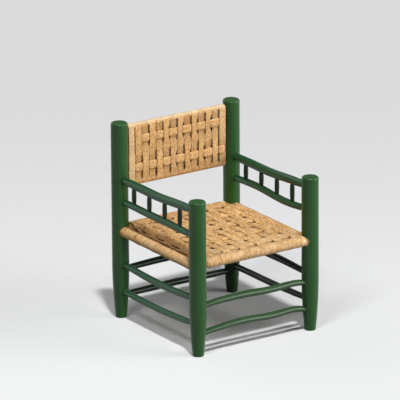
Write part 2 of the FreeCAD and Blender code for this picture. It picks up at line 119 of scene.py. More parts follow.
class Bench:
    """Lays out the nodes of one material or world and wires them up."""

    def __init__(self, owner: bpy.types.Material | bpy.types.World) -> None:
        """Clears the owner's node tree for new nodes.

        Args:
            owner: The material or the world.
        """
        owner.use_nodes = True
        self.tree = owner.node_tree
        self.tree.nodes.clear()

    @staticmethod
    def _find(sockets: Sequence[bpy.types.NodeSocket], key: str | int) -> bpy.types.NodeSocket:
        """Finds a socket of a node.

        Args:
            sockets: The node's inputs or outputs.
            key: Its number, identifier or name.

        Returns:
            The socket.
        """
        if isinstance(key, int):
            return sockets[key]
        named = [s for s in sockets if s.identifier == key] or [s for s in sockets if s.name == key]
        return named[0]

    def node(
        self, kind: str, settings: dict[str, object] | None = None,
        sockets: dict[str | int, object] | None = None, gives: str | int = 0,
    ) -> Wire | None:
        """Adds a node, with its settings first and its sockets next.

        Args:
            kind: The node's type, without the words ShaderNode.
            settings: The node's own settings. The name stops holds the two stops of a colour ramp.
            sockets: The numbers, colours or wires of its inputs.
            gives: The output that the wire comes from.

        Returns:
            The wire from that output, or None from a node that has none.
        """
        made = self.tree.nodes.new("ShaderNode" + kind)
        for name, setting in (settings or {}).items():
            if name != "stops":
                setattr(made, name, setting)
                continue
            for element, (place, level) in zip(made.color_ramp.elements, setting):
                element.position = place
                element.color = colour(level, level, level)
        for key, value in (sockets or {}).items():
            target = self._find(made.inputs, key)
            if isinstance(value, Wire):
                self.tree.links.new(value.socket, target)
            else:
                target.default_value = value
        return Wire(self, self._find(made.outputs, gives)) if made.outputs else None

    def maths(self, operation: str, first: Wire | float, second: Wire | float = 0.0) -> Wire:
        """Adds a Math node on one or two values and gives its result."""
        return self.node("Math", {"operation": operation}, {0: first, 1: second})

    def vectors(self, operation: str, first: object, second: object, gives: str = "Vector") -> Wire:
        """Adds a Vector Math node on two vectors and gives its result."""
        return self.node("VectorMath", {"operation": operation}, {0: first, 1: second}, gives)

    def part(self, vector: Wire, axis: str) -> Wire:
        """Gives the part of a vector along X, Y or Z."""
        return self.node("SeparateXYZ", None, {0: vector}, axis)

    def join(self, x: Wire, y: Wire, z: Wire | float) -> Wire:
        """Joins three values into a vector."""
        return self.node("CombineXYZ", None, {0: x, 1: y, 2: z})

    def mix(self, share: Wire | float, first: object, second: object) -> Wire:
        """Mixes two colours, with the share of the second one."""
        sockets = {"Factor_Float": share, "A_Color": first, "B_Color": second}
        return self.node("Mix", {"data_type": "RGBA"}, sockets, "Result_Color")

    def brighten(self, tint: Wire, level: Wire | float) -> Wire:
        """Multiplies a colour by a level."""
        return self.node("VectorMath", {"operation": "SCALE"}, {0: tint, "Scale": level})

    def noise(self, where: Wire, scale: float, detail: float = 2.0, roughness: float = 0.5) -> Wire:
        """Adds a noise of a scale in cells to the metre and gives its level."""
        sockets = {"Vector": where, "Scale": scale, "Detail": detail, "Roughness": roughness}
        return self.node("TexNoise", None, sockets)

    def ramp(self, level: Wire, low: float, high: float, first: float = 0.0) -> Wire:
        """Runs a level through a ramp, from first at low to its opposite, 1 or 0, at high."""
        return self.node("ValToRGB", {"stops": ((low, first), (high, 1.0 - first))}, {0: level})

    def smooth(self, level: Wire, low: float, high: float, first: float = 0.0) -> Wire:
        """Runs a level through a smooth step, from first at low to its opposite, 1 or 0, at high."""
        sockets = {"Value": level, "From Min": low, "From Max": high, "To Min": first, "To Max": 1.0 - first}
        return self.node("MapRange", {"interpolation_type": "SMOOTHSTEP"}, sockets)

    def surface(self, tint: Wire, roughness: Wire, specular: float, height: Wire, bump: Span) -> None:
        """Ends a material with its surface.

        Args:
            tint: Its colour.
            roughness: Its roughness.
            specular: Its specular level.
            height: Its relief, from 0 to 1.
            bump: How much of the relief shows, and its depth in metres.
        """
        relief = {"Height": height, "Strength": bump[0], "Distance": bump[1]}
        normal = self.node("Bump", None, relief)
        looks = {"Base Color": tint, "Roughness": roughness, "Normal": normal, "Specular IOR Level": specular}
        self.node("OutputMaterial", None, {"Surface": self.node("BsdfPrincipled", None, looks)})


class Run(Enum):
    """The way in which a round piece of wood runs, as the axis of its length."""

    ACROSS = 0
    DEEP = 1
    UPRIGHT = 2


class Shade(Enum):
    """A shade of the green paint, as its deepest and its freshest colour."""

    LEAF = (colour(0.011, 0.059, 0.010), colour(0.024, 0.098, 0.021))
    MOSS = (colour(0.018, 0.052, 0.016), colour(0.034, 0.084, 0.030))
    POND = (colour(0.008, 0.056, 0.020), colour(0.019, 0.098, 0.036))
    # painted shade: a far darker copy of the paint, for the pieces that lie in shadow
    SHADOWED = (colour(0.003, 0.012, 0.004), colour(0.007, 0.026, 0.008))


@dataclass(frozen=True)
class SatinPaint:
    """Green paint brushed along a round piece of wood, satin and a little uneven.

    Its marks, from brush to scuff, are given in cells to the metre. Where under_seat is a height, the
    side that faces inward gets painted shade below it, for the shade under the seat.
    """

    run: Run
    shade: Shade
    under_seat: float = 0.0
    brush: float = 420.0
    brush_stretch: float = 0.05
    grain: float = 130.0
    cloud: float = 9.0
    speck: float = 900.0
    scuff: float = 60.0
    scuff_most: float = 0.30
    worn: Colour = colour(0.085, 0.190, 0.085)
    gloss: float = 0.27
    gloss_spread: float = 0.12
    end_dullness: float = 0.50
    specular: float = 0.27
    bump: Span = (0.30, 0.0005)
    inward: tuple[float, float, float] = (-0.30, -0.95, 0.0)
    shade_below_fade: float = 0.05
    shade_below_most: float = 0.80

    def material(self) -> bpy.types.Material:
        """Builds the paint.

        Returns:
            The material, with its brush marks along the piece.
        """
        ending = "_under_seat" if self.under_seat else ""
        name = f"{self.shade.name.lower()}_green_paint_{self.run.name.lower()}{ending}"
        made = bpy.data.materials.new(name)
        bench = Bench(made)
        place = bench.node("TexCoord", gives="Object")
        squeeze = [1.0, 1.0, 1.0]
        squeeze[self.run.value] = self.brush_stretch
        along = bench.vectors("MULTIPLY", place, tuple(squeeze))
        brush = bench.noise(along, self.brush, detail=3.0, roughness=0.6)
        grain = bench.noise(along, self.grain)
        cloud = bench.noise(place, self.cloud)
        speck = bench.noise(place, self.speck, detail=1.0)
        deep, fresh = self.shade.value
        tint = bench.mix(cloud * 0.7 + brush * 0.3, deep, fresh)
        scuff = bench.ramp(bench.noise(along, self.scuff, detail=4.0, roughness=0.7), 0.66, 0.8)
        tint = bench.mix(scuff * self.scuff_most, tint, self.worn)
        normal = bench.node("NewGeometry", gives="Normal")
        # faces that look straight up are painted darker and made duller
        facing_up = bench.ramp(bench.part(normal, "Z"), 0.94, 0.985)
        tint = bench.mix(facing_up * (cloud * 0.7 + 0.25), tint, deep)
        # painted shade: below the seat, the side that faces inward is mixed towards the shadowed paint's
        # deepest colour
        if self.under_seat:
            low = bench.smooth(
                bench.part(place, "Z"), self.under_seat - self.shade_below_fade, self.under_seat, first=1.0
            )
            turned = bench.ramp(bench.vectors("DOT_PRODUCT", normal, self.inward, "Value"), 0.0, 0.6)
            tint = bench.mix(low * turned * self.shade_below_most, tint, Shade.SHADOWED.value[0])
        roughness = (grain - 0.5) * self.gloss_spread + self.gloss + facing_up * self.end_dullness
        height = brush * 0.4 + grain * 0.45 + speck * 0.15
        bench.surface(tint, roughness, self.specular, height, self.bump)
        return made


@dataclass(frozen=True)
class RushFinish:
    """Twisted golden rush, speckled, with its strands side by side along a band.

    A band's own UV map gives the way along it and across it in metres. Its attribute "tone" is
    different on each band. "tuck" grows to 1 where shade is painted on it: where another band
    lies over it, in its slits and seams, and where other parts shade it. "bleach" grows to 1
    where it is worn pale and where a highlight is painted on it. The grain, the fibre and the cloud are
    marks, in cells to the metre, and the twist is in radians to the metre.
    """

    name: str
    strand: float
    straw: Colour = colour(0.845, 0.47, 0.165)
    pale: Colour = colour(0.98, 0.71, 0.42)
    brown: Colour = colour(0.425, 0.188, 0.026)
    shade: Colour = colour(0.28, 0.135, 0.028)
    shade_dark: Colour = colour(0.105, 0.027, 0.006)
    cream: Colour = colour(0.84, 0.70, 0.47)
    stretch: float = 0.8
    level: float = 0.86
    grain: float = 180.0
    fibre: float = 900.0
    fibre_stretch: float = 0.08
    cloud: float = 40.0
    twist: float = 1500.0
    tone_gap: float = 0.7
    tone_seed: float = 37.0
    streak: float = 0.6
    pale_from: float = 0.48
    pale_most: float = 0.90
    brown_from: float = 0.38
    brown_most: float = 0.86
    groove_most: float = 0.30
    painted_shade_most: float = 0.92
    dullness: float = 0.62
    specular: float = 0.15
    bump: Span = (0.6, 0.0016)

    def material(self) -> bpy.types.Material:
        """Builds the rush.

        Returns:
            The material, which reads the UV map "lay" and the attributes "tone", "tuck"
            and "bleach".
        """
        made = bpy.data.materials.new(self.name)
        bench = Bench(made)
        lay = bench.node("UVMap", {"uv_map": "lay"})
        tone, tuck, bleach = (
            bench.node("Attribute", {"attribute_name": layer}, gives="Fac") for layer in RUSH_LAYERS
        )
        along, across = bench.part(lay, "X"), bench.part(lay, "Y")
        apart = tone * self.tone_gap
        place = bench.join(along * self.stretch, across, apart)
        long_place = bench.join(along * self.fibre_stretch, across, apart)
        strand_share = across / self.strand
        strand_number = bench.maths("FLOOR", strand_share)
        within = strand_share - strand_number
        ridge = 1.0 - bench.maths("ABSOLUTE", within - 0.5) * 2.0
        strand_place = bench.join(strand_number, tone * self.tone_seed, 0.0)
        strand_tone = bench.node(
            "TexWhiteNoise", {"noise_dimensions": "2D"}, {"Vector": strand_place}, "Value"
        )
        twist = bench.maths("SINE", along * self.twist + within * 5.0 + strand_tone * 6.28)
        speckle = bench.noise(place, self.grain, roughness=0.7)
        fleck = bench.noise(place, self.grain * 0.7, detail=3.0, roughness=0.65)
        fibre = bench.noise(long_place, self.fibre, roughness=0.6)
        cloud = bench.noise(long_place, self.cloud)
        pale_share = bench.ramp(speckle, self.pale_from, self.pale_from + 0.10)
        brown_share = bench.ramp(fleck, self.brown_from, self.brown_from + 0.13, first=1.0)
        tint = bench.mix(pale_share * self.pale_most, self.straw, self.pale)
        tint = bench.mix(brown_share * self.brown_most, tint, self.brown)
        streak = (strand_tone - 0.5) * 0.22 + (cloud - 0.5) * self.streak + 0.08
        tint = bench.mix(streak, tint, self.shade)
        tint = bench.mix(tone * 0.20, tint, self.pale)
        tint = bench.brighten(tint, fibre * 0.28 + self.level)
        # painted shade in the grooves between strands
        groove = bench.ramp(ridge, 0.0, 0.35, first=1.0)
        tint = bench.mix(groove * self.groove_most, tint, self.shade)
        # pale wear, and painted highlight, towards cream
        tint = bench.mix(bleach * (pale_share * 0.5 + 0.45), tint, self.cream)
        # painted shade: towards a near-black brown as far as the tuck attribute says
        tint = bench.mix(tuck * self.painted_shade_most, tint, self.shade_dark)
        height = ridge**0.5 * 0.45 + twist * 0.08 + speckle * 0.25 + fibre * 0.22
        bench.surface(tint, fibre * 0.15 + self.dullness, self.specular, height, self.bump)
        return made


@dataclass
class Cut:
    """One cross cut of a band of rush, in metres.

    Its middle lies half way through the band, outward points away from what the band lies on, and
    the band reaches across from low to high. The way is the distance along it, and full says how
    square its edges are, 2 for round. Four values go from 0 to 1: how much painted shade it has, where
    another band lies over it and where other parts shade it, how much painted shade darkens its two
    edges, and how pale it is, from wear and painted highlight.
    """

    middle: Vector
    outward: Vector
    low: float
    high: float
    thick: float
    tuck: float
    way: float
    full: float = 2.6
    low_shade_dark: float = 0.0
    high_shade_dark: float = 0.0
    bleach: float = 0.0


@dataclass
class RushBand:
    """A flat, full band of rush strands, bent along its cuts and closed on itself."""

    across: Vector
    strand: float
    tone: float
    seed: int
    shade_dark_share: float = 0.14
    uneven: float = 0.0
    face_steps: int = 4
    back_steps: int = 8
    ridge_height: float = 0.00045
    swell: Span = (0.75, 1.25)
    wander: float = 0.0004
    swing: Span = (0.02, 0.05)
    corner_share: float = 0.55
    weld: float = 1e-6

    def build(self, mesh: bmesh.types.BMesh, cuts: Sequence[Cut]) -> None:
        """Bends a flat grid into the band and adds it to a mesh.

        Args:
            mesh: The mesh, with the layers that the rush finish reads.
            cuts: The cross cuts in order, the last one next to the first.
        """
        draw = random.Random(self.seed)
        strands = max(1, round(max(cut.high - cut.low for cut in cuts) / self.strand))
        top = strands * self.face_steps
        ring = top + self.back_steps
        rows = len(cuts)
        grid = bmesh.ops.create_grid(mesh, x_segments=rows, y_segments=ring, size=0.5)
        lay = mesh.loops.layers.uv["lay"]
        tone, tuck, bleach = (mesh.verts.layers.float[layer] for layer in RUSH_LAYERS)
        swings = [(draw.uniform(*self.swing), draw.uniform(0.0, math.tau)) for _ in range(strands + 1)]
        swells = [draw.uniform(*self.swell) for _ in range(strands)]
        darks = [1.0 + draw.uniform(-self.uneven, self.uneven) for _ in range(strands)]
        length = cuts[-1].way + (cuts[-1].way - cuts[-2].way)
        places: dict[bmesh.types.BMVert, Span] = {}
        for corner in grid["verts"]:
            row = round((corner.co.x + 0.5) * rows)
            share, side = self._ring_place(round((corner.co.y + 0.5) * ring) % ring, top, ring)
            cut = cuts[row % rows]
            number = min(int(share * strands), strands - 1)
            swing, phase = swings[number]
            profile = max(0.0, 1.0 - abs(2.0 * share - 1.0) ** cut.full) ** (1.0 / cut.full)
            height = side * cut.thick * 0.5 * profile
            if side > 0.0:
                bow = math.sin(math.pi * (share * strands - number)) * profile
                height += self.ridge_height * (bow * swells[number] - 0.5 * profile)
            spread = math.sin(cut.way / swing + phase) * self.wander
            offset = blend(cut.low, cut.high, share) + spread * profile
            corner.co = cut.middle + self.across * offset + cut.outward * height
            # painted shade darkens the band's two edges, as its cuts say, beside slits and along seams
            low_shade_dark = cut.low_shade_dark * ease(1.0 - share / self.shade_dark_share)
            high_shade_dark = cut.high_shade_dark * ease(1.0 - (1.0 - share) / self.shade_dark_share)
            corner[tone] = self.tone
            corner[tuck] = max(cut.tuck * darks[number], low_shade_dark, high_shade_dark)
            corner[bleach] = cut.bleach
            places[corner] = (length if row == rows else cut.way, share if side > 0.0 else 2.0 - share)
        for face in {face for corner in grid["verts"] for face in corner.link_faces}:
            face.smooth = True
            last = max(places[loop.vert][1] for loop in face.loops)
            for loop in face.loops:
                way, share = places[loop.vert]
                share = 2.0 if share == 0.0 and last > 1.0 else share
                loop[lay].uv = (way, share * strands * self.strand)
        bmesh.ops.remove_doubles(mesh, verts=list(grid["verts"]), dist=self.weld)

    def _ring_place(self, number: int, top: int, ring: int) -> Span:
        """Finds a point on the ring of a cross cut.

        Args:
            number: The point's number on the ring.
            top: How many steps the outward face has.
            ring: How many steps the ring has.

        Returns:
            The share of the way across from 0 to 1, and 1 for the outward or -1 for the inner face.
        """
        if number <= top:
            even = number / top
            round_place = 0.5 - 0.5 * math.cos(math.pi * even)
            return blend(even, round_place, self.corner_share), 1.0 if 0 < number < top else 0.0
        even = (ring - number) / (ring - top)
        return 0.5 - 0.5 * math.cos(math.pi * even), -1.0


def new_rush_mesh() -> bmesh.types.BMesh:
    """Starts a mesh of rush.

    Returns:
        The empty mesh, with the layers that the rush finish reads.
    """
    mesh = bmesh.new()
    mesh.loops.layers.uv.new("lay")
    for layer in RUSH_LAYERS:
        mesh.verts.layers.float.new(layer)
    return mesh


@dataclass
class Belt:
    """A closed line round two rolls, seen from its side, that a band of rush follows.

    The line's own two directions are the reach, from the first roll to the second, and the rise.
    """

    first: Span
    second: Span
    radius: float
    step: float = 0.0035

    def walk(self, lift: Callable[[float, bool], float]) -> list[Point]:
        """Walks once round the belt.

        Args:
            lift: Gives how far the line stands out at a reach, on the upper run or the lower one.

        Returns:
            For each point its reach and rise, its distance along, the outward angle as the rise
            over the level, and whether it is on the upper run or its roll.
        """
        runs = max(8, round((self.second[0] - self.first[0]) / self.step))
        turns = max(10, round(math.pi * self.radius / self.step))
        points: list[tuple[float, float, bool]] = []
        for start, end, side in ((self.first, self.second, 1.0), (self.second, self.first, -1.0)):
            upper = side > 0.0
            for n in range(runs):
                reach = blend(start[0], end[0], n / runs)
                rise = blend(start[1], end[1], n / runs)
                points.append((reach, rise + side * (self.radius + lift(reach, upper)), upper))
            for n in range(turns):
                angle = math.pi * (0.5 * side - n / turns)
                away = self.radius * math.cos(angle), self.radius * math.sin(angle)
                on_top = angle > 0.0 if upper else angle < -math.pi
                points.append((end[0] + away[0], end[1] + away[1], on_top))
        walked = []
        way = 0.0
        for n, (reach, rise, upper) in enumerate(points):
            before, after = points[n - 1], points[(n + 1) % len(points)]
            heading = math.atan2(after[1] - before[1], after[0] - before[0])
            walked.append((reach, rise, way, heading + math.pi / 2.0, upper))
            way += math.hypot(after[0] - reach, after[1] - rise)
        return walked


@dataclass
class Weave:
    """What the seat and the back share: wound bands, with crosswise bands woven through them.

    A wound band's number counts from the left, a crosswise one's from the front or from below, and a
    reach is a place along a band. A Span that is handed to step gives its start and its width.
    """

    bands: int
    plain_bands: tuple[int, ...]
    parity: int
    pitch: float
    pinches: tuple[float, ...]
    weft_rows: tuple[float, ...]
    weft_half: float
    flat_share: float
    settle: float
    weft_turn: Span
    weave_height: float
    finish: bpy.types.Material = field(init=False)

    def _seam(self, number: int) -> float:
        """Gives the across place of a wound band's left edge."""
        return self.pitch * (number - self.bands / 2.0)

    def _centre(self, number: int) -> float:
        """Gives the across place of a wound band's middle."""
        return (self._seam(number) + self._seam(number + 1)) / 2.0

    def _over(self, warp: int, weft: int) -> bool:
        """Tells whether the crosswise band lies over the wound one."""
        return warp not in self.plain_bands and (warp + weft) % 2 == self.parity

    def _near(self, reach: float, weft: int) -> float:
        """Gives how near a crosswise band is to a wound one's reach, 1 where they cross."""
        return 1.0 - step(abs(reach - self.weft_rows[weft]), self.weft_half * self.flat_share, self.settle)

    def _warp_lift(self, number: int, reach: float) -> Span:
        """Gives how far a wound band is lifted, from -1 under to 1 over, and how near a crossing is."""
        nears = [self._near(reach, weft) for weft in range(len(self.weft_rows))]
        return sum(-near if self._over(number, weft) else near for weft, near in enumerate(nears)), max(nears)

    def _weft_lift(self, number: int, reach: float) -> float:
        """Finds how a crosswise band is woven at a reach.

        Args:
            number: The band.
            reach: The place along it.

        Returns:
            How far it is lifted, from -1 under to 1 over.
        """
        lift = 0.0
        turn_in, turn_width = self.weft_turn
        for warp in range(self.bands):
            over = self._over(warp, number)
            low = self._seam(warp) - (self.pinches[warp - 1] if over else 0.0)
            high = self._seam(warp + 1) - (0.0 if over else self.pinches[warp])
            inside = (high - low) / 2.0 - self.pitch * turn_in
            share = 1.0 - step(abs(reach - (low + high) / 2.0), inside, self.pitch * turn_width)
            lift += share * (1.0 if over else -1.0)
        return lift

    def _belt_lift(self, number: int) -> Callable[[float, bool], float]:
        """Gives how far a wound band's belt stands out at a reach."""
        return lambda reach, upper: self._warp_lift(number, reach)[0] * self.weave_height

    def _finish_piece(self, mesh: bmesh.types.BMesh, name: str, node: str) -> None:
        """Makes a piece of the chair from a mesh, and lets it ride on the chair's body.

        Args:
            mesh: The mesh, in metres at its place. It is freed.
            name: The piece's name.
            node: The CAD node that it stands for.
        """
        bmesh.ops.recalc_face_normals(mesh, faces=mesh.faces)
        data = bpy.data.meshes.new(name)
        mesh.to_mesh(data)
        mesh.free()
        data.materials.append(self.finish)
        piece = bpy.data.objects.new(name, data)
        bpy.context.scene.collection.objects.link(piece)
        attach(piece, BODY)
        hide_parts(node)
        log.info("%s: %d faces, stands for %s", name, len(data.polygons), node)


@dataclass
class SideRoll:
    """The rush that covers a side rail, turn beside turn."""

    side: float
    height: float
    half_length: float
    strand: float
    turn: float = 0.0046
    turn_steps: int = 5
    spin_steps: int = 40
    inner: float = 0.0140
    outer: float = 0.0199
    bow: float = 0.0006
    rim: float = 0.0004
    front_taper: float = 0.010
    back_taper: float = 0.034
    slant_taper: float = 0.012
    tone_wave: float = 0.031
    bleach: float = 0.20

    def build(self, mesh: bmesh.types.BMesh) -> None:
        """Spins the roll's outline round its axis, slants its turns and lays its map.

        Args:
            mesh: The empty mesh, with the layers that the rush finish reads.
        """
        count = round(2.0 * self.half_length / self.turn) * self.turn_steps
        outline = []
        for n in range(count + 1):
            along = blend(-self.half_length, self.half_length, n / count)
            taper = self.front_taper if along < 0.0 else self.back_taper
            grown = step(abs(along), self.half_length, -taper)
            bow = self.bow * abs(math.sin(math.pi * n / self.turn_steps))
            outline.append((along, blend(self.inner + self.rim, self.outer - self.bow, grown) + bow))
        outline += [(self.half_length, self.inner), (-self.half_length, self.inner)]
        axis = Vector((self.side, 0.0, self.height))
        ring = bmesh.ops.create_circle(mesh, segments=len(outline), radius=self.outer)
        for corner, (along, away) in zip(ring["verts"], outline):
            corner.co = axis + Vector((0.0, along, away))
        bmesh.ops.spin(
            mesh, geom=mesh.verts[:] + mesh.edges[:], cent=axis, axis=Vector((0.0, 1.0, 0.0)),
            dvec=Vector((0.0, 0.0, 0.0)), angle=math.tau, steps=self.spin_steps, use_merge=True,
            use_duplicate=False,
        )
        tone, _, bleach = (mesh.verts.layers.float[layer] for layer in RUSH_LAYERS)
        for corner in mesh.verts:
            slant = self.turn * self._angle(corner) / math.tau
            corner.co.y += slant * step(abs(corner.co.y), self.half_length, -self.slant_taper)
            corner[tone] = 0.5 + 0.5 * math.sin(corner.co.y / self.tone_wave + math.copysign(1.0, self.side))
            corner[bleach] = self.bleach
        lay = mesh.loops.layers.uv["lay"]
        for face in mesh.faces:
            face.smooth = True
            angles = [self._angle(loop.vert) % math.tau for loop in face.loops]
            wraps = max(angles) - min(angles) > math.pi
            for loop, angle in zip(face.loops, angles):
                turned = angle + math.tau if wraps and angle < math.pi else angle
                across = loop.vert.co.y - self.turn * (turned / math.tau)
                loop[lay].uv = (turned * self.outer, across * self.strand / self.turn)

    def _angle(self, corner: bmesh.types.BMVert) -> float:
        """Gives a corner's angle round the roll's axis, from the top."""
        return math.atan2(corner.co.x - self.side, corner.co.z - self.height)


@dataclass
class WovenSeat(Weave):
    """The seat: lengthwise bands round the front and back rails, and crosswise bands through them.

    The band at each side is narrow and lies in two lanes.
    """

    bands: int = 13
    plain_bands: tuple[int, ...] = (0, 12)
    parity: int = 0
    pitch: float = 0.03832
    pinches: tuple[float, ...] = (0.0,) * 13
    weft_rows: tuple[float, ...] = (-0.2190, -0.1021, 0.0154, 0.1240, 0.2290)
    weft_half: float = 0.0245
    flat_share: float = 0.75
    settle: float = 0.026
    weft_turn: Span = (0.28, 0.36)
    weave_height: float = 0.0025
    band_thick: float = 0.0054
    strand: float = 0.0042
    slit_width: float = 0.0068
    front: float = -0.265
    back: float = 0.265
    side: float = 0.256
    front_rail_height: float = 0.360
    back_rail_height: float = 0.354
    side_rail_height: float = 0.3496
    roll_radius: float = 0.0180
    side_roll_radius: float = 0.0176
    side_roll_past_post: float = 0.010
    post_radius: float = 0.0333
    rolled: Span = (0.250, 0.012)
    lanes: tuple[Span, ...] = ((0.2040, 0.2225), (0.2215, 0.2365))
    lane_sinks: tuple[Span, ...] = ((0.0015, 0.0045), (0.0008, 0.0016))
    lane_shades: tuple[Span, ...] = ((0.36, 0.24), (0.34, 0.10))
    lane_tone: float = 0.37
    lane_thins: Span = (0.20, 0.05)
    crest: float = 0.194
    crest_rein: Span = (0.0115, 0.0170)
    fall_width: float = 0.030
    side_fall: Span = (0.026, 0.010)
    under_fall: float = 0.3
    fall_ends: Span = (0.250, -0.070)
    dip: float = 0.010
    dip_across: Span = (0.196, 0.020)
    dip_from: Span = (0.165, 0.045)
    dip_to: Span = (0.268, -0.030)
    tilt_shade: float = 0.60
    tilt_ends: Span = (0.262, -0.02)
    swell: float = 0.0035
    swell_from: Span = (0.2215, 0.012)
    swell_to: Span = (0.259, -0.010)
    weft_rise: Span = (0.256, -0.045)
    weft_shade: tuple[Span, Span] = ((0.194, 0.007), (-0.236, 0.008))
    seam_shade_dark: float = 0.42
    lane_shade_dark: float = 0.92

    def build(self) -> None:
        """Weaves the whole seat."""
        self.finish = RushFinish(
            "seat_rush", self.strand, stretch=0.4, level=0.94, streak=0.75, brown_most=0.84, brown_from=0.40
        ).material()
        for number in range(self.bands):
            self._warp(number)
        for number in range(len(self.weft_rows)):
            self._weft(number)
        for name, sign in (("left", -1.0), ("right", 1.0)):
            mesh = new_rush_mesh()
            half_length = self.back - self.post_radius + self.side_roll_past_post
            SideRoll(sign * self.side, self.side_rail_height, half_length, self.strand).build(mesh)
            self._keep_off_posts(mesh, 1)
            self._finish_piece(mesh, f"{name}_side_roll", f"{name}_rail_wrap")

    def _drop(self, x: float, y: float, upper: bool) -> float:
        """Finds how far the seat slopes down to its side roll, or dips before the back right post.

        Args:
            x: The place across.
            y: The place from front to back.
            upper: Whether the point is on the upper layer.

        Returns:
            The drop in metres.
        """
        past = min(max(0.0, abs(x) - self.crest) / self.fall_width, 1.0)
        fall = self.side_fall[x >= 0.0] * (1.0 - (1.0 - past) ** 2) * step(abs(y), *self.fall_ends)
        dip = self.dip * step(x, *self.dip_across) * step(y, *self.dip_from) * step(y, *self.dip_to)
        return max(fall, dip) * (1.0 if upper else self.under_fall)

    def _shade(self, number: int, lane: int, reach: float) -> float:
        """Gives a lengthwise band's painted shade: more towards the back, and most at the sides."""
        full = 0.02 + 0.17 * step(reach, self.front, self.back - self.front) ** 1.5
        return self.lane_shades[number > 0][lane] if number in self.plain_bands else full

    def _wear_and_highlight(self, number: int, reach: float, outward: float) -> float:
        """Finds a lengthwise band's wear and painted highlight: most on the front roll, a little behind it.

        Args:
            number: The band.
            reach: The place from front to back.
            outward: The angle at which it faces out.

        Returns:
            The share, from 0 to 1.
        """
        # painted highlight: the right band is made pale on its rolls, where the post shades it; the other
        # rolls are paler where they face up, partly worn and partly painted highlight, and the seat's front
        # is worn paler
        if number == self.bands - 1:
            return 0.6 * step(abs(reach), *self.rolled)
        rolled = step(abs(reach), 0.255, 0.020) * ease(0.6 + math.sin(outward))
        return max(0.22 * rolled, 0.26 * step(reach, -0.150, -0.120))

    def _slit(self, number: int, reach: float) -> float:
        """Finds how open the slit at a lengthwise band's right edge is.

        Args:
            number: The band.
            reach: The place from front to back.

        Returns:
            The share, from 0 for closed to 1 for open.
        """
        if not 0 <= number < self.bands - 1:
            return 0.0
        open_share = 0.0
        for weft, centre in enumerate(self.weft_rows):
            if not self._over(number, weft):
                continue
            draw = random.Random(1000 + 17 * number + weft)
            behind = reach - centre - draw.uniform(-0.002, 0.002)
            strength = draw.uniform(0.80, 1.1)
            before_weft = abs(behind + self.weft_half + 0.001)
            before = step(before_weft, draw.uniform(0.0095, 0.0125), -0.005)
            if weft % 2 == 0:
                after = step(abs(behind - self.weft_half - 0.011), 0.0145, -0.005)
            else:
                before *= 0.45
                after = 0.85 * step(behind, draw.uniform(0.046, 0.060), -0.012) * step(behind, -0.010, 0.010)
            open_share = max(open_share, strength * max(before, after))
        return open_share * step(reach, self.back - 0.014, -0.010)

    def _warp(self, number: int) -> None:
        """Winds one lengthwise band round the front and back rails.

        Args:
            number: The band.
        """
        plain = number in self.plain_bands
        draw = random.Random(100 + number)
        phase = draw.uniform(0.0, math.tau)
        tone = draw.random()
        mesh = new_rush_mesh()
        for lane in range(len(self.lanes) if plain else 1):
            radius = self.roll_radius - (self.lane_sinks[number > 0][lane] if plain else 0.0)
            belt = Belt((self.front, self.front_rail_height), (self.back, self.back_rail_height), radius)
            points = belt.walk(self._belt_lift(number))
            cuts = [self._warp_cut(number, lane, phase, point) for point in points]
            RushBand(
                Vector((1.0, 0.0, 0.0)), self.strand, (tone + self.lane_tone * lane) % 1.0,
                200 + 3 * number + lane, shade_dark_share=0.30 if plain else 0.24, uneven=0.8 * plain,
            ).build(mesh, cuts)
        if number in (1, self.bands - 2):
            self._tilt(mesh)
        if number == self.bands - 1:
            self._swell(mesh)
        self._keep_off_posts(mesh, 0)
        self._finish_piece(mesh, f"seat_lengthwise_band_{number + 1}", f"seat_warp_{number + 1}")

    def _warp_cut(self, number: int, lane: int, phase: float, point: Point) -> Cut:
        """Cuts through a lengthwise band, or through a lane of the one at a side.

        Args:
            number: The band.
            lane: The lane, from 0.
            phase: Where the band's wander starts.
            point: The belt's point there, as its walk gives it.

        Returns:
            The cut.
        """
        reach, rise, way, outward, upper = point
        rolled = step(abs(reach), *self.rolled)
        lift, near = self._warp_lift(number, reach)
        wave = math.sin(reach / 0.041 + phase + (0.0 if upper else 2.0)) * 0.0006
        left, right = (self._slit(n, reach) for n in (number - 1, number))
        if number in self.plain_bands:
            low, high = sorted(math.copysign(place, number - 1.0) for place in self.lanes[lane])
            middle = (low + high) / 2.0
            low, high = low + 2.0 * wave, high + 2.0 * wave
            thinned = step(abs(reach), *self.lane_thins)
            thick = self.band_thick * blend(2.1 - 0.5 * lane, 1.0, thinned)
            full = blend(2.1, 3.5, rolled)
            # painted shade between the side lanes, off the rolls
            shade_darks = [self.lane_shade_dark * (1.0 - rolled)] * 2
        else:
            middle = self._centre(number)
            share = 1.01 + (0.02 if lift > 0.0 else 0.10) * lift if upper else 1.03 + 0.10 * near
            half = self.pitch * 0.5 * blend(share, 1.03, rolled)
            rein = self.crest + blend(*self.crest_rein, rolled)
            low, high = max(middle + wave - half, -rein), min(middle + wave + half, rein)
            thick = self.band_thick * (1.0 + 0.06 * math.sin(reach / 0.023 + phase) - 0.15 * near)
            full = blend(2.7, 5.0, rolled)
            # painted shade along the seams of the upper layer, and beside its slits
            shade_darks = [max(slit, self.seam_shade_dark * (1.0 - rolled) * upper) for slit in (left, right)]
        # painted shade: along the band, 0.27 on the rolls but none on the right band's, and more where it
        # dives under a crosswise band
        shade = blend(self._shade(number, lane, reach), 0.27 * (number < self.bands - 1), rolled)
        open_width = self.slit_width * upper
        return Cut(
            Vector((0.0, reach, rise - self._drop(middle, reach, upper) * upper)),
            Vector((0.0, math.cos(outward), math.sin(outward))), low + open_width * 0.4 * left,
            high - open_width * 0.7 * right, thick, max(0.45 * max(0.0, -lift) ** 3, shade), way, full,
            *shade_darks, self._wear_and_highlight(number, reach, outward),
        )

